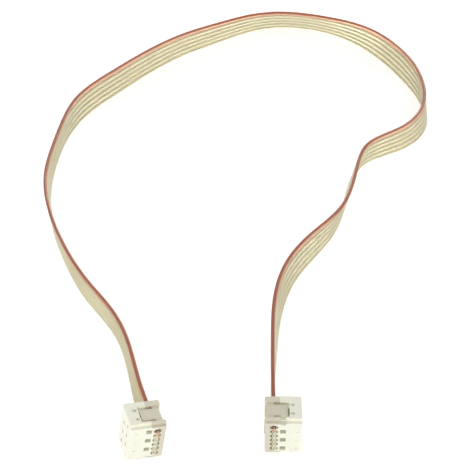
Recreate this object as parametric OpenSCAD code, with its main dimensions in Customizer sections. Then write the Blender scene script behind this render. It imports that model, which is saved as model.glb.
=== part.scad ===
// Six-wire ribbon cable with an insulation-displacement connector on each end.
// Millimetres, Z up. The cable stands on its edge in an open loop, red wire uppermost.
// The origin is in the middle of the face that the right connector stands on.
// A connector is drawn with X from the ribbon to its mating face, Y along the ribbon, Z along the row.

/* [Ribbon] */
// Distance between neighbouring wires
pitch = 1.27; // [1.15:0.01:1.5]
// Number of wires side by side
wires = 6; // [4:2:8]
// Outer diameter of one insulated wire
wire_d = 0.9; // [0.8:0.01:1]
// Diameter of the stranded copper core
core_d = 0.38; // [0.3:0.01:0.42]
// Distance behind the connectors at which the ribbon's edge meets the surface
landing_y = 146; // [100:1:200]

/* [Connector] */
// Body beyond the end wires, at each end of the row
end_margin = 1.475; // [1.4:0.005:2]
// Size of the connector along the ribbon
depth = 7.2; // [6.8:0.1:9]
// From the ribbon's middle plane to the mating face
body_t = 5.9; // [5.6:0.1:8]
// From the ribbon's middle plane to the back of the cover
cover_t = 1.9; // [1.8:0.1:2.4]
// Thickness of the front and back walls that frame each end
wall = 1.3; // [1.1:0.05:1.5]
// Distance between the two contact rows, along the ribbon
row_gap = 2.54; // [2.3:0.02:2.8]
// Radius of the outer corners
corner_r = 0.3; // [0.1:0.05:0.5]
// Width of the step along the front edge of each end
step_w = 0.8; // [0.4:0.05:0.9]
// Height of that step
step_h = 0.7; // [0.4:0.05:0.8]

/* [Latch] */
// Depth of the recess that each cover leg lies in
recess = 1; // [0.8:0.05:1]
// Thickness of a cover leg
leg_t = 0.6; // [0.4:0.02:0.7]
// How far a leg reaches past the ribbon, towards the mating face
leg_reach = 2.9; // [2.5:0.1:3.5]
// How far the catch stands out inside the leg
catch = 0.3; // [0.2:0.02:0.3]
// Width of the catch, which stands between the two contact rows
catch_w = 1.6; // [1:0.1:1.6]
// Free space between a leg and the body under it
leg_clear = 0.05; // [0.03:0.01:0.08]
// Gap left between a leg and the walls beside it
leg_gap = 0.75; // [0.4:0.05:0.8]
// Step between the back of the cover and its two raised edges
cover_step = 0.5; // [0.2:0.05:0.6]
// How far the cover's end walls reach past the ribbon, which is where the notch begins
notch_x = 1.3; // [1:0.05:1.4]
// Width of the notch
notch_w = 1.2; // [0.8:0.05:1.3]
// Depth of the notch
notch_h = 1.2; // [0.6:0.05:1.3]

/* [Ribbon passage] */
// Free space round each wire inside the connector
wire_clear = 0.05; // [0.03:0.01:0.08]
// Width of each flared opening round a wire's cut end
flare_w = 1.75; // [1.4:0.05:2]
// Height of each flared opening
flare_h = 1.05; // [1:0.01:1.12]
// Depth of the flare
flare_depth = 0.7; // [0.4:0.05:0.9]

/* [Contacts] */
// Thickness of the contact sheet
sheet_t = 0.3; // [0.25:0.01:0.35]
// Width across a pair of insulation-cutting tines
tine_w = 1; // [0.9:0.01:1.05]
// How far the tines reach past the ribbon's middle plane
tine_reach = 0.9; // [0.7:0.05:1]
// Bevel on the tip of each tine, across it
tine_bevel_w = 0.2; // [0.1:0.05:0.25]
// Length of that bevel, along the tine
tine_bevel_l = 0.3; // [0.1:0.05:0.4]
// Width across a contact's pin spring
spring_w = 1.2; // [1:0.05:1.2]
// Closest gap between the two spring arms
spring_gap = 0.4; // [0.3:0.02:0.5]
// Length of the funnel that guides a pin between the arms
mouth = 0.7; // [0.5:0.05:0.9]
// Length of the barbs that hold a contact in its cavity
barb = 0.3; // [0.2:0.05:0.4]
// Opening for a header pin in the mating face
pin_hole = 0.8; // [0.6:0.05:1]
// Wall of the mating face in front of the springs
face_wall = 0.7; // [0.6:0.05:0.9]
// Free space round a contact in its cavity
contact_clear = 0.05; // [0.03:0.01:0.08]

/* [Inspection windows] */
// Distance from the ribbon's middle plane to the middle of a window
window_x = 1.85; // [1.7:0.05:2.2]
// Width of a window
window_w = 1.25; // [1:0.05:1.4]
// Height of a window
window_h = 1.05; // [0.9:0.05:1.2]
// Distance from the ribbon's middle plane to the small dimples near the mating face
dimple_x = 4.7; // [4.4:0.1:5]
// Diameter of a dimple
dimple_d = 0.6; // [0.4:0.05:0.8]
// Depth of a dimple
dimple_h = 0.15; // [0.05:0.05:0.2]
// Distance from the ribbon's middle plane to the two blind holes in each end
end_hole_x = 4; // [3.9:0.05:4.4]
// Diameter of a blind hole in the end
end_hole_d = 0.9; // [0.6:0.05:1]
// Depth of a blind hole in the end
end_hole_h = 0.5; // [0.2:0.05:0.6]

/* [Left connector] */
// Place of its front face, across
left_x = -30.3; // [-40:0.1:-25]
// Place of its front face, along
left_y = -5.2; // [-8:0.1:0]
// Turn about the upright
left_yaw = 18.5; // [0:0.5:25]
// Lean onto the edge of its cover
left_roll = 9.5; // [5:0.5:15]

/* [Hidden] */
row_len = (wires - 1) * pitch;
first_z = end_margin + wire_d / 2;
conn_len = row_len + 2 * first_z;
web_t = wire_d * sin(22.5);
row_y = [depth / 2 - row_gap / 2, depth / 2 + row_gap / 2];
leg_w = depth - 2 * wall - 2 * leg_gap;
leg_z = recess - leg_t - leg_clear;
leg_root = cover_t / 2;
pocket_x = body_t - face_wall;
left_z = cover_t * sin(left_roll);
right_x = -(leg_reach + leg_gap / 2 + body_t) / 2;
right_y = -depth / 2;
// Contact: where the stem begins, the root of the spring slot, the tips, and both slots' half-widths
stem_x = 1.2;
root_x = 2.4;
tip_x = pocket_x - contact_clear;
slot_r = core_d / 2 * cos(30);
root_r = spring_w / 4;
eps = 0.01;
wire_names = [for (k = [0:wires - 1]) str(k + 1)];

// Places along the free length: x, y and the lean of the ribbon's upper edge to the
// right of its run, in degrees. The run starts in the left connector.
free_points = [
    [-37.5, 23.5, 5], [-41, 33.5, 0], [-48.5, 43.5, 2], [-54, 55, -2], [-59.5, 70, -6],
    [-63, 86.5, -7], [-62.5, 101, 0], [-61, 114, -1], [-56.5, 127, -20], [-47, 139, -20],
    [-39, 150, -12], [-29, 160.5, -7], [-17.5, 168, 2], [-7.5, 175.5, 14], [4, 178, 20],
    [17, 174, 19], [26.5, 166, -4], [33, 156, -40], [40.5, 140.5, -15], [44.5, 121.5, 17],
    [35.5, 107.5, 14], [22, 103.5, -3], [17.5, 90.5, -20], [14.5, 73, -11], [8, 62, 16],
    [1, 51.5, 16], [-2.5, 38.5, 12], [-3.5, 26.5, 7]
];
// Stations inside and behind a connector, as shares of its depth
seat_shares = [0, 1.1, 2.2];
// Rings swept along the whole route
rings = 58;
wire_sides = 8;
core_sides = 6;

CONNECTORS = ["left", "right"];
CONTACTS = [for (c = CONNECTORS) for (k = wire_names) str(c, "_contact_", k)];
CONDUCTORS = [for (k = wire_names) str("conductor_", k)];

// Route of the middle of the lowest wire: x, y, lean and height
function left_seat(y) = [
    left_x + first_z * sin(left_roll) * cos(left_yaw) - y * sin(left_yaw),
    left_y + first_z * sin(left_roll) * sin(left_yaw) + y * cos(left_yaw),
    left_roll,
    left_z + first_z * cos(left_roll)
];
function right_seat(y) = [right_x, right_y + y, 0, first_z];
function edge_height(y) = end_margin * max(0, min(1, 1 - y / landing_y));
route = concat(
    [for (s = seat_shares) left_seat(s * depth)],
    [for (p = free_points) [p.x, p.y, p.z, wire_d / 2 + edge_height(p.y)]],
    [for (i = [len(seat_shares) - 1:-1:0]) right_seat(seat_shares[i] * depth)]
);

// Uniform cubic B-spline through the route, mirrored at its ends so that it starts and stops on them
last = len(route) - 1;
function stop(i) = i < 0 ? 2 * route[0] - route[1] : i > last ? 2 * route[last] - route[last - 1] : route[i];
function blend(a, b, c, d, f) =
    (a * pow(1 - f, 3) + b * (3 * pow(f, 3) - 6 * pow(f, 2) + 4)
    + c * (-3 * pow(f, 3) + 3 * pow(f, 2) + 3 * f + 1) + d * pow(f, 3)) / 6;
function slope(a, b, c, d, f) =
    (-a * pow(1 - f, 2) + b * (3 * pow(f, 2) - 4 * f) + c * (-3 * pow(f, 2) + 2 * f + 1) + d * pow(f, 2)) / 2;
function span_of(t) = min(floor(t), last - 1);
function place_at(t) = let (i = span_of(t)) blend(stop(i - 1), stop(i), stop(i + 1), stop(i + 2), t - i);
function run_at(t) = let (i = span_of(t), d = slope(stop(i - 1), stop(i), stop(i + 1), stop(i + 2), t - i))
    [d.x, d.y] / norm([d.x, d.y]);

// One section point, u up the ribbon from the lowest wire and v across its thickness
function on_ring(t, u, v) = let (p = place_at(t), r = run_at(t), lean = p.z,
    out = u * sin(lean) + v * cos(lean), rise = u * cos(lean) - v * sin(lean))
    [p.x + r.y * out, p.y - r.x * out, p[3] + rise];
function ring_t(i) = last * i / (rings - 1);

// Insulation section: each wire is an eight-sided ring round a six-sided core, joined by thin webs
function lobe(k) = concat(
    [for (j = [0:wire_sides - 1]) let (a = (j + 0.5) * 360 / wire_sides)
        [k * pitch + wire_d / 2 * cos(a), wire_d / 2 * sin(a)]],
    core(k));
function core(k) = [for (j = [0:core_sides - 1]) let (a = (j + 0.5) * 360 / core_sides)
    [k * pitch + core_d / 2 * cos(a), core_d / 2 * sin(a)]];
function web_end(k) = [for (s = [1, -1]) [k * pitch - wire_d / 2 * cos(22.5), s * web_t / 2]];
lobe_n = wire_sides + core_sides;

// Faces of one end, seen from the start of the run
function lobe_faces(o) = let (c = o + wire_sides) [
    [o, o + 1, o + 2, o + 3, c + 2, c + 1, c],
    [o + 4, o + 5, o + 6, o + 7, c + 5, c + 4, c + 3],
    [o + 3, o + 4, c + 3, c + 2],
    [o + 7, o, c, c + 5]
];
function outline_loop(n, webbed) = concat(
    [for (k = [0:n - 1]) for (j = [4:7]) k * lobe_n + j],
    webbed ? [n * lobe_n + 1, n * lobe_n] : [],
    [for (k = [n - 1:-1:0]) for (j = [0:3]) k * lobe_n + j]);
function walls(loop, size) = [for (i = [0:rings - 2]) for (j = [0:len(loop) - 1])
    let (a = loop[j], b = loop[(j + 1) % len(loop)], s = i * size, e = (i + 1) * size)
    [s + a, s + b, e + b, e + a]];
function turned(face) = [for (i = [len(face) - 1:-1:0]) face[i]];

// Sweeps a section along the whole route
module sweep(section, loops, caps) {
    size = len(section);
    end = (rings - 1) * size;
    points = [for (i = [0:rings - 1]) for (s = section) on_ring(ring_t(i), s.x, s.y)];
    faces = concat(
        [for (loop = loops) for (w = walls(loop, size)) w],
        [for (f = caps) turned(f)],
        [for (f = caps) [for (v = f) end + v]]);
    polyhedron(points = points, faces = [for (f = faces) turned(f)], convexity = 10);
}

module insulation(first, count, webbed) {
    ends = webbed ? web_end(first + count) : [];
    section = concat([for (k = [0:count - 1]) each lobe(first + k)], ends);
    bores = [for (k = [0:count - 1]) [for (j = [core_sides - 1:-1:0]) k * lobe_n + wire_sides + j]];
    webs = [for (k = [0:count - (webbed ? 1 : 2)])
        let (o = k * lobe_n, n = (k + 1) * lobe_n, far = k == count - 1)
        [o, o + 7, far ? n + 1 : n + 4, far ? n : n + 3]];
    caps = concat([for (k = [0:count - 1]) each lobe_faces(k * lobe_n)], webs);
    sweep(section, concat([outline_loop(count, webbed)], bores), caps);
}

// Five natural wires with the webs between them and to the red wire
module ribbon_insulation() {
    color([0.87, 0.83, 0.70]) difference() {
        insulation(0, wires - 1, true);
        for (side = CONNECTORS) in_place(side) for (k = [0:wires - 1]) tine_cuts(k);
    }
}

// Insulation of the marker wire, bonded along the top web
module red_wire_insulation() {
    color([0.66, 0.26, 0.20]) difference() {
        insulation(wires - 1, 1, false);
        in_place("right") tine_cuts(wires - 1);
        in_place("left") tine_cuts(0);
    }
}

// Slits that the two tines of a contact cut beside a core
module tine_cuts(k) {
    for (s = [1, -1]) translate([-wire_d, row_y[k % 2] - sheet_t / 2, first_z + k * pitch])
        translate([0, 0, s > 0 ? slot_r : -tine_w / 2]) cube([2 * wire_d, sheet_t, tine_w / 2 - slot_r]);
}

// Stranded core of one wire
module conductor(k) {
    loop = [for (j = [0:core_sides - 1]) j];
    color([0.80, 0.62, 0.45]) sweep(core(k), [loop], [loop]);
}

// Plan of a moulding from the ribbon plane to its outer face, with rounded outer corners
module plan(reach) {
    square([reach - corner_r, depth]);
    translate([0, corner_r]) square([reach, depth - 2 * corner_r]);
    for (y = [corner_r, depth - corner_r]) translate([reach - corner_r, y]) circle(corner_r, $fn = 24);
}

// Passage for the ribbon, flared where its ends can be seen
module passage() {
    bore_r = wire_d / 2 + wire_clear;
    for (k = [0:wires - 1]) translate([0, 0, first_z + k * pitch]) {
        translate([0, -eps, 0]) rotate([-90, 0, 0]) cylinder(r = bore_r, h = depth + 2 * eps, $fn = 32);
        for (y = [-eps, depth - flare_depth]) translate([0, y, 0]) flare();
    }
    translate([-web_t / 2 - wire_clear, -eps, first_z])
        cube([web_t + 2 * wire_clear, depth + 2 * eps, row_len]);
}
module flare() {
    rotate([-90, 0, 0]) linear_extrude(flare_depth + eps) for (s = [1, -1])
        translate([s * (flare_w - flare_h) / 2, 0]) circle(d = flare_h, $fn = 32);
    translate([-(flare_w - flare_h) / 2, 0, -flare_h / 2])
        cube([flare_w - flare_h, flare_depth + eps, flare_h]);
}

// Room for one leg of the cover and the end walls beside it, at the lower end
module leg_recess() {
    translate([-eps, wall, -eps]) cube([leg_reach + leg_gap / 2 + eps, depth - 2 * wall, recess + eps]);
    translate([-eps, -eps, -eps]) cube([notch_x + eps, depth + 2 * eps, recess + eps]);
    translate([leg_reach - 2 * catch - leg_gap / 2, (depth - catch_w) / 2 - leg_clear, recess - eps])
        cube([2 * catch + leg_gap, catch_w + 2 * leg_clear, catch + leg_clear]);
}

// Cavity for one contact, its pin opening and its window
module contact_cavity(k) {
    y = row_y[k % 2];
    z = first_z + k * pitch;
    front = k % 2 == 0;
    wide = sheet_t + 2 * contact_clear;
    tall = spring_w + 2 * contact_clear;
    translate([-eps, y - wide / 2, z - tall / 2]) cube([pocket_x + eps, wide, tall]);
    translate([pocket_x - eps, y - pin_hole / 2, z - pin_hole / 2])
        cube([face_wall + 2 * eps, pin_hole, pin_hole]);
    translate([window_x - window_w / 2, front ? -eps : y, z - window_h / 2])
        cube([window_w, front ? y + eps : depth - y + eps, window_h]);
    translate([dimple_x, front ? -eps : depth - dimple_h, z]) rotate([-90, 0, 0])
        cylinder(d = dimple_d, h = dimple_h + eps, $fn = 24);
}

// Step along the front edge of the lower end
module front_step() {
    translate([-cover_t - eps, -eps, -eps])
        cube([cover_t + body_t + 2 * eps, step_w + eps, step_h + eps]);
}

// Moulded body with its contact cavities
module housing() {
    difference() {
        linear_extrude(conn_len) plan(body_t);
        passage();
        for (m = [0, 1]) at_end(m) {
            leg_recess();
            front_step();
            for (y = row_y) translate([end_hole_x, y, -eps])
                cylinder(d = end_hole_d, h = end_hole_h + eps, $fn = 24);
        }
        at_end(1) translate([notch_x, -eps, -eps]) cube([notch_w, wall + 2 * eps, notch_h + eps]);
        for (k = [0:wires - 1]) contact_cavity(k);
    }
}

// Repeats a feature of the lower end at the upper end
module at_end(m) {
    translate([0, 0, m * conn_len]) mirror([0, 0, m]) children();
}

// Cover that presses the ribbon onto the contacts and latches round both ends
module cover() {
    difference() {
        union() {
            linear_extrude(conn_len) mirror([1, 0]) plan(cover_t);
            for (m = [0, 1]) at_end(m) {
                leg();
                for (y = [0, depth - wall]) translate([-eps, y, 0]) cube([notch_x + eps, wall, recess]);
            }
        }
        translate([-cover_t - eps, wall, -eps])
            cube([cover_step + eps, depth - 2 * wall, conn_len + 2 * eps]);
        for (m = [0, 1]) at_end(m) {
            translate([-cover_t, wall, -eps]) cube([cover_t, depth - 2 * wall, leg_z + eps]);
            front_step();
        }
        passage();
        for (k = [0:wires - 1]) tine_slot(k);
    }
}
module leg() {
    translate([-leg_root, wall + leg_gap, leg_z]) cube([leg_root + leg_reach, leg_w, leg_t]);
    translate([leg_reach - 2 * catch, (depth + catch_w) / 2, leg_z + leg_t - eps]) rotate([90, 0, 0])
        linear_extrude(catch_w) polygon([[0, 0], [2 * catch, 0], [catch, catch + eps], [0, catch + eps]]);
}
module tine_slot(k) {
    wide = sheet_t + 2 * contact_clear;
    tall = tine_w + 2 * contact_clear;
    translate([-tine_reach - contact_clear, row_y[k % 2] - wide / 2, first_z + k * pitch - tall / 2])
        cube([tine_reach + contact_clear + eps, wide, tall]);
}

// Contact blanked from sheet: cutting fork, barbed stem, tuning-fork spring.
// Half of its outline, from the root of the cutting slot round to the root of the spring slot.
half_contact = concat(
    [for (a = [0:15:90]) [wire_d / 2 + slot_r * cos(a), slot_r * sin(a)]],
    [[-wire_d / 2, slot_r], [-tine_reach, tine_w / 2 - tine_bevel_w]],
    [[tine_bevel_l - tine_reach, tine_w / 2], [stem_x, tine_w / 2]],
    [[stem_x, spring_w / 2 + contact_clear], [stem_x + barb, spring_w / 2]],
    [[tip_x, spring_w / 2], [tip_x, spring_gap], [tip_x - mouth, spring_gap / 2]],
    [for (a = [90:15:180]) [root_x + root_r * cos(a), root_r * sin(a)]]
);
module contact_outline() {
    n = len(half_contact);
    polygon(concat(half_contact, [for (i = [n - 2:-1:1]) [half_contact[i].x, -half_contact[i].y]]));
}
module contact(k) {
    translate([0, row_y[k % 2] - sheet_t / 2, first_z + k * pitch]) rotate([-90, 0, 0])
        linear_extrude(sheet_t) contact_outline();
}

// Places: the right connector stands square, the left one is turned end for end
module in_place(side) {
    if (side == "right") translate([right_x, right_y, 0]) children();
    else translate([left_x, left_y, left_z]) rotate([0, 0, left_yaw]) rotate([0, left_roll, 0])
        translate([0, 0, conn_len]) rotate([0, 180, 0]) children();
}

ribbon_insulation();
red_wire_insulation();
for (k = [0:wires - 1]) conductor(k);
for (s = CONNECTORS) {
    in_place(s) color([0.94, 0.92, 0.82]) housing();
    in_place(s) color([0.90, 0.88, 0.79]) cover();
    for (k = [0:wires - 1]) in_place(s) color([0.80, 0.78, 0.72]) contact(k);
}
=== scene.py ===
# %% [markdown]
# # A flat ribbon cable with a latched connector on each end
#
# The real thing is a strip of six insulated wires, side by side, standing on its edge in an open loop.
# Each end is clamped in a small ivory connector whose contacts cut through the insulation. This notebook
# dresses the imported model: it gives the ribbon its true scalloped section, shows the twisted strands at the
# cut ends, and gives every plastic and metal its own finish.

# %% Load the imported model
import math

import bmesh
import bpy
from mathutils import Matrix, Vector


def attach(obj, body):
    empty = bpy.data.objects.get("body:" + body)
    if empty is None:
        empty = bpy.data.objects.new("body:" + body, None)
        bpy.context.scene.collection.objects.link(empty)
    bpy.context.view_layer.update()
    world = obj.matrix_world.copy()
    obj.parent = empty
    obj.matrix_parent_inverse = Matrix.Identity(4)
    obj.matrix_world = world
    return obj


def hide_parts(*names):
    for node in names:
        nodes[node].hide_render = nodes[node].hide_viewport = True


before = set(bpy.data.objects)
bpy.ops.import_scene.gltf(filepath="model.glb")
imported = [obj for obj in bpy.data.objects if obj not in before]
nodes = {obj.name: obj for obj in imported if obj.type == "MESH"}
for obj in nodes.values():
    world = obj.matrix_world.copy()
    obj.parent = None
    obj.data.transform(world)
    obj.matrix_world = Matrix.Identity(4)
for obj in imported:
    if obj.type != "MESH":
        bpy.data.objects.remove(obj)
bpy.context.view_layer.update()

MM = 0.001

# %% [markdown]
# ## The camera
#
# A camera is matched to a photograph by three things: how far down it looks, how far away it stands, and
# its focal length. Straight edges of the connectors and the known width of the ribbon fix all three here.
# The focal length is found in pixels of the photograph's frame, and one line turns it into the lens in
# millimetres.

# %% Camera
FRAME_PX = 470
FOCAL_PX = 1300
AIM = Vector((-12.85, 70.9, 0)) * MM
DOWN = math.radians(39)
REACH = 336 * MM

lens = bpy.data.cameras.new("camera")
camera = bpy.data.objects.new("camera", lens)
bpy.context.collection.objects.link(camera)
bpy.context.scene.camera = camera
lens.sensor_fit = "HORIZONTAL"
lens.lens = lens.sensor_width * FOCAL_PX / FRAME_PX
lens.clip_start = 10 * MM
camera.location = AIM + Vector((0, -math.cos(DOWN), math.sin(DOWN))) * REACH
camera.rotation_euler = (math.pi / 2 - DOWN, 0, 0)
print("lens", round(lens.lens, 1), "mm at", [round(v / MM) for v in camera.location])

# %% [markdown]
# ## The ribbon's route
#
# A ribbon bends easily one way and hardly at all the other, so on its edge it makes tall, smooth curves
# that lean a little in or out. Its route is a list of places with a lean at each, the same as in the part's
# source, and a uniform cubic B-spline runs past them. A B-spline is chosen because its bends change slowly,
# as a springy ribbon's do. At both ends the route is straight, because a connector holds it there.

# %% Sizes shared with the part's source, in millimetres
PITCH = 1.27
WIRES = 6
WIRE_D = 0.9
END_MARGIN = 1.475
DEPTH = 7.2
CONNECTOR_T = 1.9
LANDING_Y = 146
RIGHT = (-4.5875, -3.6)
LEFT = (-30.3, -5.2)
LEFT_YAW = math.radians(18.5)
LEFT_ROLL = math.radians(9.5)
FIRST_Z = END_MARGIN + WIRE_D / 2
MIDDLE = (WIRES - 1) * PITCH / 2
SEAT_SHARES = (0, 1.1, 2.2)
print("from the first wire's middle to the last one's:", 2 * MIDDLE, "mm")

# %% Places along the free length: x, y and the lean of the upper edge to the right of the run, in degrees
FREE_POINTS = [
    (-37.5, 23.5, 5), (-41, 33.5, 0), (-48.5, 43.5, 2), (-54, 55, -2), (-59.5, 70, -6),
    (-63, 86.5, -7), (-62.5, 101, 0), (-61, 114, -1), (-56.5, 127, -20), (-47, 139, -20),
    (-39, 150, -12), (-29, 160.5, -7), (-17.5, 168, 2), (-7.5, 175.5, 14), (4, 178, 20),
    (17, 174, 19), (26.5, 166, -4), (33, 156, -40), (40.5, 140.5, -15), (44.5, 121.5, 17),
    (35.5, 107.5, 14), (22, 103.5, -3), (17.5, 90.5, -20), (14.5, 73, -11), (8, 62, 16),
    (1, 51.5, 16), (-2.5, 38.5, 12), (-3.5, 26.5, 7),
]
print("places:", len(FREE_POINTS), "from", FREE_POINTS[0][:2], "to", FREE_POINTS[-1][:2])


# %% Stations of the route: x, y, lean and height of the lowest wire's middle
def left_seat(y):
    x = LEFT[0] + FIRST_Z * math.sin(LEFT_ROLL) * math.cos(LEFT_YAW) - y * math.sin(LEFT_YAW)
    along = LEFT[1] + FIRST_Z * math.sin(LEFT_ROLL) * math.sin(LEFT_YAW) + y * math.cos(LEFT_YAW)
    height = CONNECTOR_T * math.sin(LEFT_ROLL) + FIRST_Z * math.cos(LEFT_ROLL)
    return Vector((x, along, LEFT_ROLL, height))


def free_place(x, y, lean):
    """The lower edge comes down evenly from its height in the connectors to the surface at LANDING_Y."""
    rise = END_MARGIN * max(0, min(1, 1 - y / LANDING_Y))
    return Vector((x, y, math.radians(lean), WIRE_D / 2 + rise))


def right_seat(y):
    return Vector((RIGHT[0], RIGHT[1] + y, 0, FIRST_Z))


stations = [left_seat(share * DEPTH) for share in SEAT_SHARES]
stations += [free_place(*point) for point in FREE_POINTS]
stations += [right_seat(share * DEPTH) for share in reversed(SEAT_SHARES)]
stations = [2 * stations[0] - stations[1]] + stations + [2 * stations[-1] - stations[-2]]
SPANS = len(stations) - 3
print("stations:", len(stations), "spans:", SPANS)

# %% The B-spline, sampled every millimetre or so
SAMPLES = 400
STEP = 0.001


def place_at(t):
    i = min(int(t), SPANS - 1)
    f = t - i
    weights = ((1 - f) ** 3, 3 * f ** 3 - 6 * f ** 2 + 4, -3 * f ** 3 + 3 * f ** 2 + 3 * f + 1, f ** 3)
    return sum((stations[i + j] * w / 6 for j, w in enumerate(weights)), Vector((0, 0, 0, 0)))


def run_at(t):
    ahead = place_at(min(t + STEP, SPANS)) - place_at(max(t - STEP, 0))
    return Vector((ahead.x, ahead.y)).normalized()


def on_ribbon(t, up):
    """A point of the ribbon's middle plane, in metres: up is the distance above the lowest wire, in mm."""
    place, run = place_at(t), run_at(t)
    out = up * math.sin(place.z)
    return Vector((place.x + run.y * out, place.y - run.x * out, place.w + up * math.cos(place.z))) * MM


times = [SPANS * i / SAMPLES for i in range(SAMPLES + 1)]
middle_line = [on_ribbon(t, MIDDLE) for t in times]
ribbon_length = sum((b - a).length for a, b in zip(middle_line, middle_line[1:]))
print("ribbon length:", round(ribbon_length / MM, 1), "mm")

# %% [markdown]
# ## One way to add a node
#
# Geometry and materials are both built from nodes. One small function adds a node to any tree, sets its
# properties and fills its inputs with values or links, so that each tree below reads from top to bottom.


# %% Add a node
def add(tree, kind, sockets=None, **settings):
    """Adds a node: settings are its properties, sockets its inputs by name or number."""
    node = tree.nodes.new(kind)
    for name, value in settings.items():
        setattr(node, name, value)
    for name, value in (sockets or {}).items():
        if isinstance(value, bpy.types.NodeSocket):
            tree.links.new(value, node.inputs[name])
        else:
            node.inputs[name].default_value = value
    return node


print("one helper for both kinds of tree:", add.__name__)


# %% Start a geometry tree, and draw the lines that it works on
def geometry_tree(name, **inputs):
    """A node group with geometry in and out, and one named input for each size or object it takes."""
    tree = bpy.data.node_groups.new(name, "GeometryNodeTree")
    tree.interface.new_socket("Geometry", in_out="INPUT", socket_type="NodeSocketGeometry")
    tree.interface.new_socket("Geometry", in_out="OUTPUT", socket_type="NodeSocketGeometry")
    for label, kind in inputs.items():
        tree.interface.new_socket(label, in_out="INPUT", socket_type="NodeSocket" + kind)
    return tree


def drawn(name, lines, leans=None, closed=False):
    """A curve object made of one or more straight-sided lines of points."""
    curve = bpy.data.curves.new(name, "CURVE")
    curve.dimensions = "3D"
    curve.twist_mode = "Z_UP"
    for line in lines:
        spline = curve.splines.new("POLY")
        spline.points.add(len(line) - 1)
        for i, point in enumerate(line):
            spline.points[i].co = (*point, 1)
            spline.points[i].tilt = leans[i] if leans else 0
        spline.use_cyclic_u = closed
    shape = bpy.data.objects.new(name, curve)
    bpy.context.collection.objects.link(shape)
    print(name, "lines:", len(lines), "points in each:", len(lines[0]))
    return shape


# %% Run a geometry tree
def grow(shape, tree, name, **values):
    """Runs a node group on an object and returns the result as a plain mesh piece of its own."""
    modifier = shape.modifiers.new(tree.name, "NODES")
    modifier.node_group = tree
    for item in tree.interface.items_tree:
        if item.in_out == "INPUT" and item.name in values:
            modifier[item.identifier] = values[item.name]
    evaluated = shape.evaluated_get(bpy.context.evaluated_depsgraph_get())
    mesh = bpy.data.meshes.new_from_object(evaluated)
    shape.modifiers.remove(modifier)
    mesh.name = name
    piece = bpy.data.objects.new(name, mesh)
    bpy.context.collection.objects.link(piece)
    print(name, "faces:", len(mesh.polygons))
    return piece


# %% [markdown]
# ## Colours and the natural vinyl
#
# The ribbon is soft vinyl, extruded round all its wires at once. The natural kind is translucent: it looks
# pale straw where only the thin web is, and greyer, more olive, where the tinned strands show through the
# middle of a wire. The vinyl under the red mark picks up some of its red. All of this follows the ribbon,
# so the pattern reads a UV map whose first number is the distance along the ribbon and whose second is the
# distance across it, both in millimetres.


# %% Helpers for colours and materials
def colour(code):
    """Turns an sRGB hex value into the linear colour that shaders work in."""
    parts = [int(code[i:i + 2], 16) / 255 for i in (0, 2, 4)]
    return [c / 12.92 if c <= 0.04045 else ((c + 0.055) / 1.055) ** 2.4 for c in parts] + [1]


def new_material(name, **shader_values):
    """A material with its shader's own sockets set, returned with its tree and shader."""
    material = bpy.data.materials.new(name)
    material.use_nodes = True
    shader = material.node_tree.nodes["Principled BSDF"]
    for label, value in shader_values.items():
        shader.inputs[label.replace("_", " ")].default_value = value
    return material, material.node_tree, shader


def clouded(tree, shade, pattern, low, high):
    """The shade made a little darker and lighter by a pattern, from low times to high times its level."""
    light = add(tree, "ShaderNodeMapRange", {"Value": pattern.outputs[0], "To Min": low, "To Max": high})
    return add(tree, "ShaderNodeVectorMath", {0: shade, "Scale": light.outputs[0]}, operation="SCALE")


print("middle grey in linear light:", round(colour("808080")[0], 3))

# %% Die lines
# The extruder's die leaves fine lines along the ribbon, about 0.06 mm apart and some 20 mm long.
DIE_LINES_PER_MM = (0.05, 16, 1)
DIE_DEPTH = 0.02
GRAIN_STRENGTH = 0.2


def die_lines(tree, place, shader):
    lines = add(tree, "ShaderNodeMapping", {"Vector": place.outputs[0], "Scale": DIE_LINES_PER_MM})
    grain = add(tree, "ShaderNodeTexNoise", {"Vector": lines.outputs[0], "Scale": 1, "Detail": 1})
    bump = add(tree, "ShaderNodeBump", {
        "Height": grain.outputs[0], "Strength": GRAIN_STRENGTH, "Distance": DIE_DEPTH * MM})
    tree.links.new(bump.outputs[0], shader.inputs["Normal"])


print("die lines per mm, across the ribbon:", DIE_LINES_PER_MM[1])

# %% Natural vinyl
VINYL_SHADE = colour("FFF9DA")
VINYL_GLOSS = 0.4
VINYL_IOR = 1.4
BLUSH_SHADE = colour("FFD0AE")
BLUSH_FROM, BLUSH_TO = PITCH * 3.9, PITCH * 4.6
# Dark red-brown for the cut ends of the last wire: red with a painted shadow of the window's upper edge.
CUT_SHADOWED_RED = colour("6E3826")
CUT_SHADOW_FROM, CUT_SHADOW_TO = PITCH * 4.6, PITCH * 4.75
CUT_DEPTH = 0.5
CLEAR_AT_CUT, CLEAR_ALONG = 0.2, 0.78
SHEEN, SHEEN_SPREAD = 0.8, 0.4
CLOUD_LENGTH = 12
CLOUD_LOW, CLOUD_HIGH = 0.94, 1.04


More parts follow.
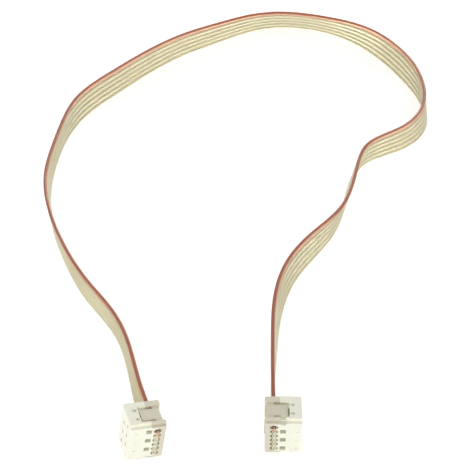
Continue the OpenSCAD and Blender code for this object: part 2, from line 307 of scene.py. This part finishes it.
def natural_vinyl():
    # Soft natural vinyl: most light goes in and shows the strands, and about a fifth is scattered back.
    # The die leaves it satin, so its highlights are broad and it looks a little paler at a grazing angle.
    material, tree, shader = new_material(
        "extruded_natural_vinyl", Roughness=VINYL_GLOSS, IOR=VINYL_IOR, Sheen_Weight=SHEEN,
        Sheen_Roughness=SHEEN_SPREAD)
    place = add(tree, "ShaderNodeUVMap", uv_map="UVMap")
    across = add(tree, "ShaderNodeSeparateXYZ", {0: place.outputs[0]})
    # The knife has dragged some red into the cut ends, so there it reaches half a wire further down.
    cut = add(tree, "ShaderNodeMapRange", {
        "Value": across.outputs["X"], "From Max": CUT_DEPTH, "To Min": 1, "To Max": 0})
    reach = add(tree, "ShaderNodeMath", {
        0: cut.outputs[0], 1: PITCH / 2, 2: across.outputs["Y"]}, operation="MULTIPLY_ADD")
    # The red ink has bled a little into the vinyl below it.
    edge = add(tree, "ShaderNodeMapRange", {
        "Value": reach.outputs[0], "From Min": BLUSH_FROM, "From Max": BLUSH_TO,
    }, interpolation_type="SMOOTHSTEP")
    base = add(tree, "ShaderNodeMix", {
        "Factor": edge.outputs[0], "A": VINYL_SHADE, "B": BLUSH_SHADE}, data_type="RGBA")
    # The knife leaves the cut ends matt, so less light goes in.
    clear = add(tree, "ShaderNodeMapRange", {
        "Value": across.outputs["X"], "From Max": CUT_DEPTH, "To Min": CLEAR_AT_CUT, "To Max": CLEAR_ALONG})
    tree.links.new(clear.outputs[0], shader.inputs["Transmission Weight"])
    # Painted shadow: on the cut ends the top of the last wire is darkened to red-brown, standing in for the
    # shade under the window's upper edge.
    upper = add(tree, "ShaderNodeMapRange", {
        "Value": across.outputs["Y"], "From Min": CUT_SHADOW_FROM, "From Max": CUT_SHADOW_TO})
    painted_shadow_mask = add(tree, "ShaderNodeMath", {0: cut.outputs[0], 1: upper.outputs[0]}, operation="MULTIPLY")
    with_painted_shadow = add(tree, "ShaderNodeMix", {
        "Factor": painted_shadow_mask.outputs[0], "A": base.outputs["Result"], "B": CUT_SHADOWED_RED}, data_type="RGBA")
    # Faint clouds about 12 mm long and 1 mm wide, as drawn-out vinyl has.
    stretch = add(tree, "ShaderNodeMapping", {
        "Vector": place.outputs[0], "Scale": (1 / CLOUD_LENGTH, 1, 1)})
    clouds = add(tree, "ShaderNodeTexNoise", {"Vector": stretch.outputs[0], "Scale": 1, "Detail": 3})
    shade = clouded(tree, with_painted_shadow.outputs["Result"], clouds, CLOUD_LOW, CLOUD_HIGH)
    tree.links.new(shade.outputs[0], shader.inputs["Base Color"])
    die_lines(tree, place, shader)
    return material


vinyl = natural_vinyl()
print(vinyl.name, "nodes:", len(vinyl.node_tree.nodes))

# %% [markdown]
# ## The red mark
#
# One edge of the ribbon is marked, so that the first wire can be told from the last. The photograph shows a
# red line along the middle of the last wire and peach beside it, with the wire's core behind: a translucent
# red ink, printed on the same natural vinyl by a wheel. A solid red wire would look darker and even, so the
# ink has a material of its own that lets most of the light through.

# %% Red printed ink
INK_SHADE = colour("E2A084")
INK_DEEP = colour("D48C70")
INK_GLOSS = 0.25
INK_CLEAR = 0.8
INK_FADE = 0.3
INK_CLOUDS_PER_MM = (0.2, 2, 1)


def red_ink():
    # A translucent red ink, uneven over about 5 mm along the wire and half a millimetre across it.
    material, tree, shader = new_material(
        "red_printed_ink", Roughness=INK_GLOSS, IOR=VINYL_IOR, Transmission_Weight=INK_CLEAR)
    place = add(tree, "ShaderNodeUVMap", uv_map="UVMap")
    stretch = add(tree, "ShaderNodeMapping", {"Vector": place.outputs[0], "Scale": INK_CLOUDS_PER_MM})
    clouds = add(tree, "ShaderNodeTexNoise", {"Vector": stretch.outputs[0], "Scale": 1, "Detail": 3})
    ink = add(tree, "ShaderNodeMix", {
        "Factor": clouds.outputs[0], "A": INK_SHADE, "B": INK_DEEP}, data_type="RGBA")
    # The printing wheel leaves the most ink along the top, and it thins out down the sides.
    across = add(tree, "ShaderNodeSeparateXYZ", {0: place.outputs[0]})
    amount = add(tree, "ShaderNodeMapRange", {
        "Value": across.outputs["Y"], "From Min": 2 * MIDDLE, "From Max": 2 * MIDDLE + INK_FADE,
    }, interpolation_type="SMOOTHSTEP")
    shade = add(tree, "ShaderNodeMix", {
        "Factor": amount.outputs[0], "A": BLUSH_SHADE, "B": ink.outputs["Result"]}, data_type="RGBA")
    tree.links.new(shade.outputs["Result"], shader.inputs["Base Color"])
    die_lines(tree, place, shader)
    return material


marker_ink = red_ink()
print(marker_ink.name, "nodes:", len(marker_ink.node_tree.nodes))

# %% [markdown]
# ## The ribbon
#
# In section the ribbon is a row of small circles joined by thin webs, so both its faces are scalloped. The
# section is drawn once as a closed line. A node group sweeps it along the route: Curve to Mesh makes the
# walls, Fill Curve makes the two cut ends, and the group stores a UV map in millimetres for the materials.
# The strands are a solid of their own inside the vinyl, so the section needs no bores. The ink is a thin
# skin over the upper half of the last wire, half in and half out of the vinyl's surface, and it is swept in
# the same way.

# %% Section of the insulation
ARC_STEPS = 10
TIP_STEPS = 4
WEB_ANGLE = math.radians(22.5)


def arc(wire, start, stop, steps, radius):
    """Points round one wire, in the sweep's own axes: x across the thickness, y down the ribbon."""
    turns = [start + (stop - start) * i / steps for i in range(steps + 1)]
    centre = wire * PITCH - MIDDLE
    return [(radius * math.sin(a) * MM, -(centre + radius * math.cos(a)) * MM, 0) for a in turns]


def natural_outline():
    """Up one face of the six wires, over the top, down the other face and round the bottom."""
    side = WIRE_D / 2
    up = [p for k in range(WIRES) for p in arc(k, WEB_ANGLE - math.pi, -WEB_ANGLE, ARC_STEPS, side)]
    top = arc(WIRES - 1, -WEB_ANGLE, WEB_ANGLE, TIP_STEPS, side)[1:-1]
    down = [p for k in reversed(range(WIRES))
            for p in arc(k, WEB_ANGLE, math.pi - WEB_ANGLE, ARC_STEPS, side)]
    lowest = arc(0, -WEB_ANGLE - math.pi, WEB_ANGLE - math.pi, TIP_STEPS, side)[1:-1]
    return up + top + down + lowest


natural_section = drawn("natural_section", [natural_outline()], closed=True)

# %% Section of the ink
INK_STEPS = 20
INK_ANGLE = math.radians(95)
INK_OUT = 0.01


def ink_outline():
    over = arc(WIRES - 1, -INK_ANGLE, INK_ANGLE, INK_STEPS, WIRE_D / 2 + INK_OUT)
    return over + arc(WIRES - 1, INK_ANGLE, -INK_ANGLE, INK_STEPS, WIRE_D / 2 - INK_OUT)


ink_section = drawn("ink_section", [ink_outline()], closed=True)


# %% The lines that the sweep follows
def lengthened(line, out):
    """The line with a short straight tip beyond each of its ends."""
    first = (line[0] - line[1]).normalized() * out * MM
    final = (line[-1] - line[-2]).normalized() * out * MM
    return [line[0] + first] + line + [line[-1] + final]


leans = [place_at(t).z for t in times]
route = drawn("route", [middle_line], leans)
ink_route = drawn("ink_route", [lengthened(middle_line, INK_OUT)], leans[:1] + leans + leans[-1:])


# %% The walls of a sweep
def swept_walls(tree, line, shape):
    """The walls, with the distances along the route and across the ribbon, in mm, as their UV map."""
    walls = add(tree, "GeometryNodeCurveToMesh", {
        "Curve": line.outputs["Geometry"], "Profile Curve": shape.outputs["Geometry"]})
    along = add(tree, "ShaderNodeMath", {0: line.outputs["Along"], 1: 1 / MM}, operation="MULTIPLY")
    across = add(tree, "ShaderNodeMath", {
        0: shape.outputs["Down"], 1: -1 / MM, 2: MIDDLE}, operation="MULTIPLY_ADD")
    wall_map = add(tree, "ShaderNodeCombineXYZ", {"X": along.outputs[0], "Y": across.outputs[0]})
    mapped = add(tree, "GeometryNodeStoreNamedAttribute", {
        "Geometry": walls.outputs[0], "Name": "UVMap"}, data_type="FLOAT2", domain="CORNER")
    tree.links.new(wall_map.outputs[0], mapped.inputs["Value"])
    return add(tree, "GeometryNodeSetShadeSmooth", {"Geometry": mapped.outputs[0], "Shade Smooth": True})


# %% The cut ends of a sweep
START_ZONE = 1


def cut_ends(tree, line, section, place):
    """The filled section, mapped flat and then set on each end of the route, facing outwards."""
    face = add(tree, "GeometryNodeFillCurve", {"Curve": section.outputs["Geometry"]}, mode="TRIANGLES")
    across = add(tree, "ShaderNodeMath", {
        0: place.outputs["Y"], 1: -1 / MM, 2: MIDDLE}, operation="MULTIPLY_ADD")
    face_map = add(tree, "ShaderNodeCombineXYZ", {"Y": across.outputs[0]})
    cut = add(tree, "GeometryNodeStoreNamedAttribute", {
        "Geometry": face.outputs[0], "Name": "UVMap"}, data_type="FLOAT2", domain="CORNER")
    tree.links.new(face_map.outputs[0], cut.inputs["Value"])
    ends = add(tree, "GeometryNodeCurveEndpointSelection", {"Start Size": 1, "End Size": 1})
    turn = add(tree, "FunctionNodeAxesToRotation", {
        "Primary Axis": add(tree, "GeometryNodeInputTangent").outputs[0],
        "Secondary Axis": add(tree, "GeometryNodeInputNormal").outputs[0],
    }, primary_axis="Z", secondary_axis="X")
    placed = add(tree, "GeometryNodeInstanceOnPoints", {
        "Points": line.outputs["Geometry"], "Selection": ends.outputs[0],
        "Instance": cut.outputs[0], "Rotation": turn.outputs[0]})
    caps = add(tree, "GeometryNodeRealizeInstances", {"Geometry": placed.outputs[0]})
    at_start = add(tree, "FunctionNodeCompare", {
        0: line.outputs["Along"], 1: START_ZONE * MM}, operation="LESS_THAN")
    return add(tree, "GeometryNodeFlipFaces", {"Mesh": caps.outputs[0], "Selection": at_start.outputs[0]})


# %% The sweep
WELD = 0.001


def follow_route():
    """Sweeps a section along the route, closes both ends and welds the walls and the ends together."""
    tree = geometry_tree("follow_route", Section="Object", Finish="Material")
    given = add(tree, "NodeGroupInput")
    length = add(tree, "GeometryNodeSplineParameter")
    line = add(tree, "GeometryNodeCaptureAttribute", {"Geometry": given.outputs["Geometry"]})
    line.capture_items.new("FLOAT", "Along")
    tree.links.new(length.outputs["Length"], line.inputs["Along"])
    section = add(tree, "GeometryNodeObjectInfo", {"Object": given.outputs["Section"]})
    place = add(tree, "ShaderNodeSeparateXYZ", {0: add(tree, "GeometryNodeInputPosition").outputs[0]})
    shape = add(tree, "GeometryNodeCaptureAttribute", {"Geometry": section.outputs["Geometry"]})
    shape.capture_items.new("FLOAT", "Down")
    tree.links.new(place.outputs["Y"], shape.inputs["Down"])
    joined = add(tree, "GeometryNodeJoinGeometry")
    for part in (cut_ends(tree, line, section, place), swept_walls(tree, line, shape)):
        tree.links.new(part.outputs[0], joined.inputs[0])
    welded = add(tree, "GeometryNodeMergeByDistance", {
        "Geometry": joined.outputs[0], "Distance": WELD * MM})
    whole = add(tree, "GeometryNodeRealizeInstances", {"Geometry": welded.outputs[0]})
    done = add(tree, "GeometryNodeSetMaterial", {
        "Geometry": whole.outputs[0], "Material": given.outputs["Finish"]})
    add(tree, "NodeGroupOutput", {"Geometry": done.outputs[0]})
    return tree


sweep = follow_route()
ribbon = grow(route, sweep, "ribbon", Section=natural_section, Finish=vinyl)
red_marker = grow(ink_route, sweep, "red_marker", Section=ink_section, Finish=marker_ink)


# %% Check that the swept pieces are closed
def faults_of(mesh):
    """Open edges, edges whose faces disagree on which side is out, and the volume in cubic millimetres."""
    solid = bmesh.new()
    solid.from_mesh(mesh)
    loose = sum(1 for e in solid.edges if len(e.link_faces) != 2)
    turned = sum(1 for e in solid.edges if not e.is_contiguous)
    volume = solid.calc_volume(signed=True) / MM ** 3
    solid.free()
    return loose, turned, round(volume, 1)


for piece in (ribbon, red_marker):
    print(piece.name, "open edges, turned edges, volume:", faults_of(piece.data))

# %% [markdown]
# ## The stranded cores
#
# Each wire's core is seven fine tinned copper strands, one in the middle and six twisted round it. They
# show as darker lines through the vinyl, and at the cut ends they stand a little proud, because the vinyl
# draws back when it is cut. Seven separate strands for each wire would be very heavy for what can be seen,
# so a core is one solid: a section with six lobes, swept along its wire and twisted by the tilt of the
# wire's line.


# %% The piece's own coordinates, in millimetres
def object_mm(tree, stretch=(1, 1, 1)):
    """Object coordinates in mm, times stretch: a number below 1 draws the pattern out along that axis."""
    place = add(tree, "ShaderNodeTexCoord")
    return add(tree, "ShaderNodeMapping", {
        "Vector": place.outputs["Object"], "Scale": [s / MM for s in stretch]})


print("object coordinates are multiplied by", 1 / MM, "to be in millimetres")

# %% Tinned copper strand
TINNED_SHADE = colour("BCB290")
TINNED_METAL = 0.6
TIN_RUNS_PER_MM = 2
TIN_LOW, TIN_HIGH = 0.93, 1.07
TIN_DULL, TIN_BRIGHT = 0.6, 0.4


def tinned_copper():
    # Tin on fine copper wire looks grey with a warm tone, and the many small strands make it dull.
    material, tree, shader = new_material("tinned_copper_strand", Metallic=TINNED_METAL)
    # The tin runs thick and thin over about half a millimetre, so its tone and its gloss both wander.
    runs = add(tree, "ShaderNodeTexNoise", {
        "Vector": object_mm(tree).outputs[0], "Scale": TIN_RUNS_PER_MM, "Detail": 2})
    tone = clouded(tree, TINNED_SHADE[:3], runs, TIN_LOW, TIN_HIGH)
    tree.links.new(tone.outputs[0], shader.inputs["Base Color"])
    dull = add(tree, "ShaderNodeMapRange", {
        "Value": runs.outputs[0], "To Min": TIN_DULL, "To Max": TIN_BRIGHT})
    tree.links.new(dull.outputs[0], shader.inputs["Roughness"])
    return material


tinned = tinned_copper()
print(tinned.name, "nodes:", len(tinned.node_tree.nodes))

# %% Section and lines of the cores
STRAND_D = 0.125
STRANDS_ROUND = 6
LOBE_ANGLES = (-75, -25, 25, 75)
LAY = 9
TIP_OUT = 0.09


def rope_outline():
    """Round the six outer strands: four points on the outer side of each."""
    outline = []
    for i in range(STRANDS_ROUND):
        middle = 2 * math.pi * i / STRANDS_ROUND
        for angle in LOBE_ANGLES:
            a = middle + math.radians(angle)
            outline.append((
                (math.cos(middle) + math.cos(a) / 2) * STRAND_D * MM,
                (math.sin(middle) + math.sin(a) / 2) * STRAND_D * MM, 0))
    return outline


def core_line(wire):
    return lengthened([on_ribbon(t, wire * PITCH) for t in times], TIP_OUT)


turn_step = 2 * math.pi * ribbon_length / MM / LAY / SAMPLES
core_turns = [turn_step * i for i in range(len(times) + 2)]
core_lines = drawn("core_lines", [core_line(k) for k in range(WIRES)], core_turns)
rope_section = drawn("rope_section", [rope_outline()], closed=True)
print("turns of a core's strands:", round(core_turns[-1] / (2 * math.pi), 1))


# %% Twisted cores
def twist_cores():
    tree = geometry_tree("twist_cores", Section="Object", Finish="Material")
    given = add(tree, "NodeGroupInput")
    section = add(tree, "GeometryNodeObjectInfo", {"Object": given.outputs["Section"]})
    solid = add(tree, "GeometryNodeCurveToMesh", {
        "Curve": given.outputs["Geometry"], "Profile Curve": section.outputs["Geometry"],
        "Fill Caps": True})
    smooth = add(tree, "GeometryNodeSetShadeSmooth", {"Geometry": solid.outputs[0], "Shade Smooth": True})
    whole = add(tree, "GeometryNodeRealizeInstances", {"Geometry": smooth.outputs[0]})
    done = add(tree, "GeometryNodeSetMaterial", {
        "Geometry": whole.outputs[0], "Material": given.outputs["Finish"]})
    add(tree, "NodeGroupOutput", {"Geometry": done.outputs[0]})
    return tree


cores = grow(core_lines, twist_cores(), "stranded_cores", Section=rope_section, Finish=tinned)
print("cores open edges, turned edges, volume:", faults_of(cores.data))

# %% Clear away the drawn lines
for helper in (natural_section, ink_section, route, ink_route, core_lines, rope_section):
    bpy.data.objects.remove(helper)
print("made pieces:", [piece.name for piece in (ribbon, red_marker, cores)])

# %% [markdown]
# ## The connector's plastics and metal
#
# Both halves of a connector are moulded nylon in its natural colour, which is a warm ivory. The body is a
# fresh, bright ivory; the cover is pressed on later and comes from another tool, and it looks a little
# greyer. A moulded edge is never sharp: it keeps a radius of some hundredths of a millimetre that catches
# the light. A bevel in the shader gives that radius without changing a mesh. The contacts are stamped
# bronze with a bright tin plating that has fine lines from the rolling mill.

# %% Moulded nylon
BODY_SHADE = colour("FBFAE8")
COVER_SHADE = colour("DDD7C2")
BODY_GLOSS = 0.34
COVER_GLOSS = 0.42
NYLON_IOR = 1.53
SOAK = 0.15
SOAK_DEPTH = 0.4
SOAK_WARMTH = (1, 0.85, 0.6)
FLOW_PATCHES_PER_MM = 0.35
FLOW_LOW, FLOW_HIGH = 0.96, 1.02
GRAIN_PER_MM = 9
GRAIN_DEPTH = 0.01
EDGE_RADIUS = 0.07
EDGE_SAMPLES = 6


def moulded_nylon(name, shade, gloss):
    # Nylon is slightly cloudy, so a little light goes in and comes out again within half a millimetre.
    material, tree, shader = new_material(
        name, Roughness=gloss, IOR=NYLON_IOR, Subsurface_Weight=SOAK, Subsurface_Scale=SOAK_DEPTH * MM,
        Subsurface_Radius=SOAK_WARMTH)
    place = object_mm(tree).outputs[0]
    # Cloudy patches a few millimetres wide are where the melt flowed and cooled unevenly.
    flow = add(tree, "ShaderNodeTexNoise", {"Vector": place, "Scale": FLOW_PATCHES_PER_MM, "Detail": 2})
    tone = clouded(tree, shade[:3], flow, FLOW_LOW, FLOW_HIGH)
    tree.links.new(tone.outputs[0], shader.inputs["Base Color"])
    # The mould's fine matt grain is about a tenth of a millimetre across.
    grain = add(tree, "ShaderNodeTexNoise", {"Vector": place, "Scale": GRAIN_PER_MM, "Detail": 2})
    rounded = add(tree, "ShaderNodeBevel", {"Radius": EDGE_RADIUS * MM}, samples=EDGE_SAMPLES)
    bump = add(tree, "ShaderNodeBump", {
        "Height": grain.outputs[0], "Strength": GRAIN_STRENGTH, "Distance": GRAIN_DEPTH * MM,
        "Normal": rounded.outputs[0]})
    tree.links.new(bump.outputs[0], shader.inputs["Normal"])
    return material


body_nylon = moulded_nylon("moulded_ivory_nylon", BODY_SHADE, BODY_GLOSS)
cover_nylon = moulded_nylon("moulded_cream_nylon", COVER_SHADE, COVER_GLOSS)
print(body_nylon.name, "and", cover_nylon.name, "edge radius:", EDGE_RADIUS, "mm")

# %% Tinned bronze
TIN_SHADE = colour("CFCBC2")
ROLLED_BRIGHT, ROLLED_DULL = 0.22, 0.4
ROLLING_LINES_PER_MM = (0.7, 0.7, 12)


def tinned_bronze():
    # Bright tin over rolled sheet: a smooth metal, a touch yellower than steel.
    material, tree, shader = new_material("tinned_bronze", Base_Color=TIN_SHADE, Metallic=1)
    lines = add(tree, "ShaderNodeTexNoise", {
        "Vector": object_mm(tree, ROLLING_LINES_PER_MM).outputs[0], "Scale": 1, "Detail": 2})
    dull = add(tree, "ShaderNodeMapRange", {
        "Value": lines.outputs[0], "To Min": ROLLED_BRIGHT, "To Max": ROLLED_DULL})
    tree.links.new(dull.outputs[0], shader.inputs["Roughness"])
    return material


contact_bronze = tinned_bronze()
print(contact_bronze.name, "rolling lines per mm:", ROLLING_LINES_PER_MM[2])

# %% Dress the CAD nodes
finishes = {"housing": body_nylon, "cover": cover_nylon, "contact": contact_bronze}
for name, node in nodes.items():
    for kind, finish in finishes.items():
        if kind in name:
            node.material_slots[0].material = finish
            print(name, "is", finish.name)

# %% [markdown]
# ## Floor, backdrop and light
#
# The object stands on a plain white table in a white room, under soft light from four low, wide lamps, so
# the fronts are bright and the tops a little darker. The floor and the world are white only where the
# camera sees them, also in a reflection or through the vinyl; the light that they give the object stays at
# a plain level.

# %% Floor
FLOOR_HALF = 3
FLOOR_SHADE = colour("F2F2F2")
TABLE_DULL = 0.9
WHITE = (1, 1, 1, 1)
SEEN_WHITE = 0.5


def seen_only(tree, strength):
    """A number that is given to camera, mirror and see-through rays, and is 0 to all others."""
    path = add(tree, "ShaderNodeLightPath")
    either = add(tree, "ShaderNodeMath", {
        0: path.outputs["Is Camera Ray"], 1: path.outputs["Is Glossy Ray"]}, operation="MAXIMUM")
    any_of = add(tree, "ShaderNodeMath", {
        0: either.outputs[0], 1: path.outputs["Is Transmission Ray"]}, operation="MAXIMUM")
    return add(tree, "ShaderNodeMath", {0: any_of.outputs[0], 1: strength}, operation="MULTIPLY")


corners = [(x * FLOOR_HALF, y * FLOOR_HALF, 0) for x, y in ((-1, -1), (1, -1), (1, 1), (-1, 1))]
floor_mesh = bpy.data.meshes.new("floor")
floor_mesh.from_pydata(corners, [], [(0, 1, 2, 3)])
floor = bpy.data.objects.new("floor", floor_mesh)
bpy.context.collection.objects.link(floor)
table, table_tree, table_shader = new_material(
    "white_table", Base_Color=FLOOR_SHADE, Roughness=TABLE_DULL, Specular_IOR_Level=0,
    Emission_Color=WHITE)
glow = seen_only(table_tree, SEEN_WHITE)
table_tree.links.new(glow.outputs[0], table_shader.inputs["Emission Strength"])
floor_mesh.materials.append(table)
print("floor:", 2 * FLOOR_HALF, "m square, in", table.name)

# %% World
# The room's walls give more light than its ceiling.
HORIZON_LEVEL = 0.6
CEILING_LEVEL = 0.3

world = bpy.data.worlds.new("white_room")
bpy.context.scene.world = world
world.use_nodes = True
room = world.node_tree
backdrop = room.nodes["Background"]
way = add(room, "ShaderNodeTexCoord")
height = add(room, "ShaderNodeSeparateXYZ", {0: way.outputs["Generated"]})
level = add(room, "ShaderNodeMapRange", {
    "Value": height.outputs["Z"], "To Min": HORIZON_LEVEL, "To Max": CEILING_LEVEL})
seen = add(room, "ShaderNodeMath", {
    0: seen_only(room, 1).outputs[0], 1: level.outputs[0]}, operation="MAXIMUM")
backdrop.inputs["Color"].default_value = WHITE
room.links.new(seen.outputs[0], backdrop.inputs["Strength"])
print(world.name, "gives", HORIZON_LEVEL, "at the horizon and", CEILING_LEVEL, "overhead")

# %% Lamps
LAMP_SIZE = 0.6
LAMPS = {
    "front_lamp": ((-0.1, -1.2, 0.34), 6.5),
    "left_lamp": ((-1.25, 0.0, 0.38), 4.8),
    "right_lamp": ((1.25, 0.0, 0.38), 5.4),
    "back_lamp": ((0.2, 1.3, 0.4), 6.5),
}
for name, (place, watts) in LAMPS.items():
    light = bpy.data.lights.new(name, "AREA")
    light.size = LAMP_SIZE
    light.energy = watts
    lamp = bpy.data.objects.new(name, light)
    bpy.context.collection.objects.link(lamp)
    lamp.location = place
    lamp.rotation_euler = (AIM - Vector(place)).to_track_quat("-Z", "Y").to_euler()
    print(name, "at", place, "with", watts, "W")
bpy.context.scene.view_settings.view_transform = "Standard"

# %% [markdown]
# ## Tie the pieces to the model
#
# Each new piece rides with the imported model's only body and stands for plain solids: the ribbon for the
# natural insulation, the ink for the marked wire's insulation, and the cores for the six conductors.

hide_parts("ribbon_insulation")
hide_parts("red_wire_insulation")
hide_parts(*[f"conductor_{k + 1}" for k in range(WIRES)])
for piece in (ribbon, red_marker, cores):
    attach(piece, "root")
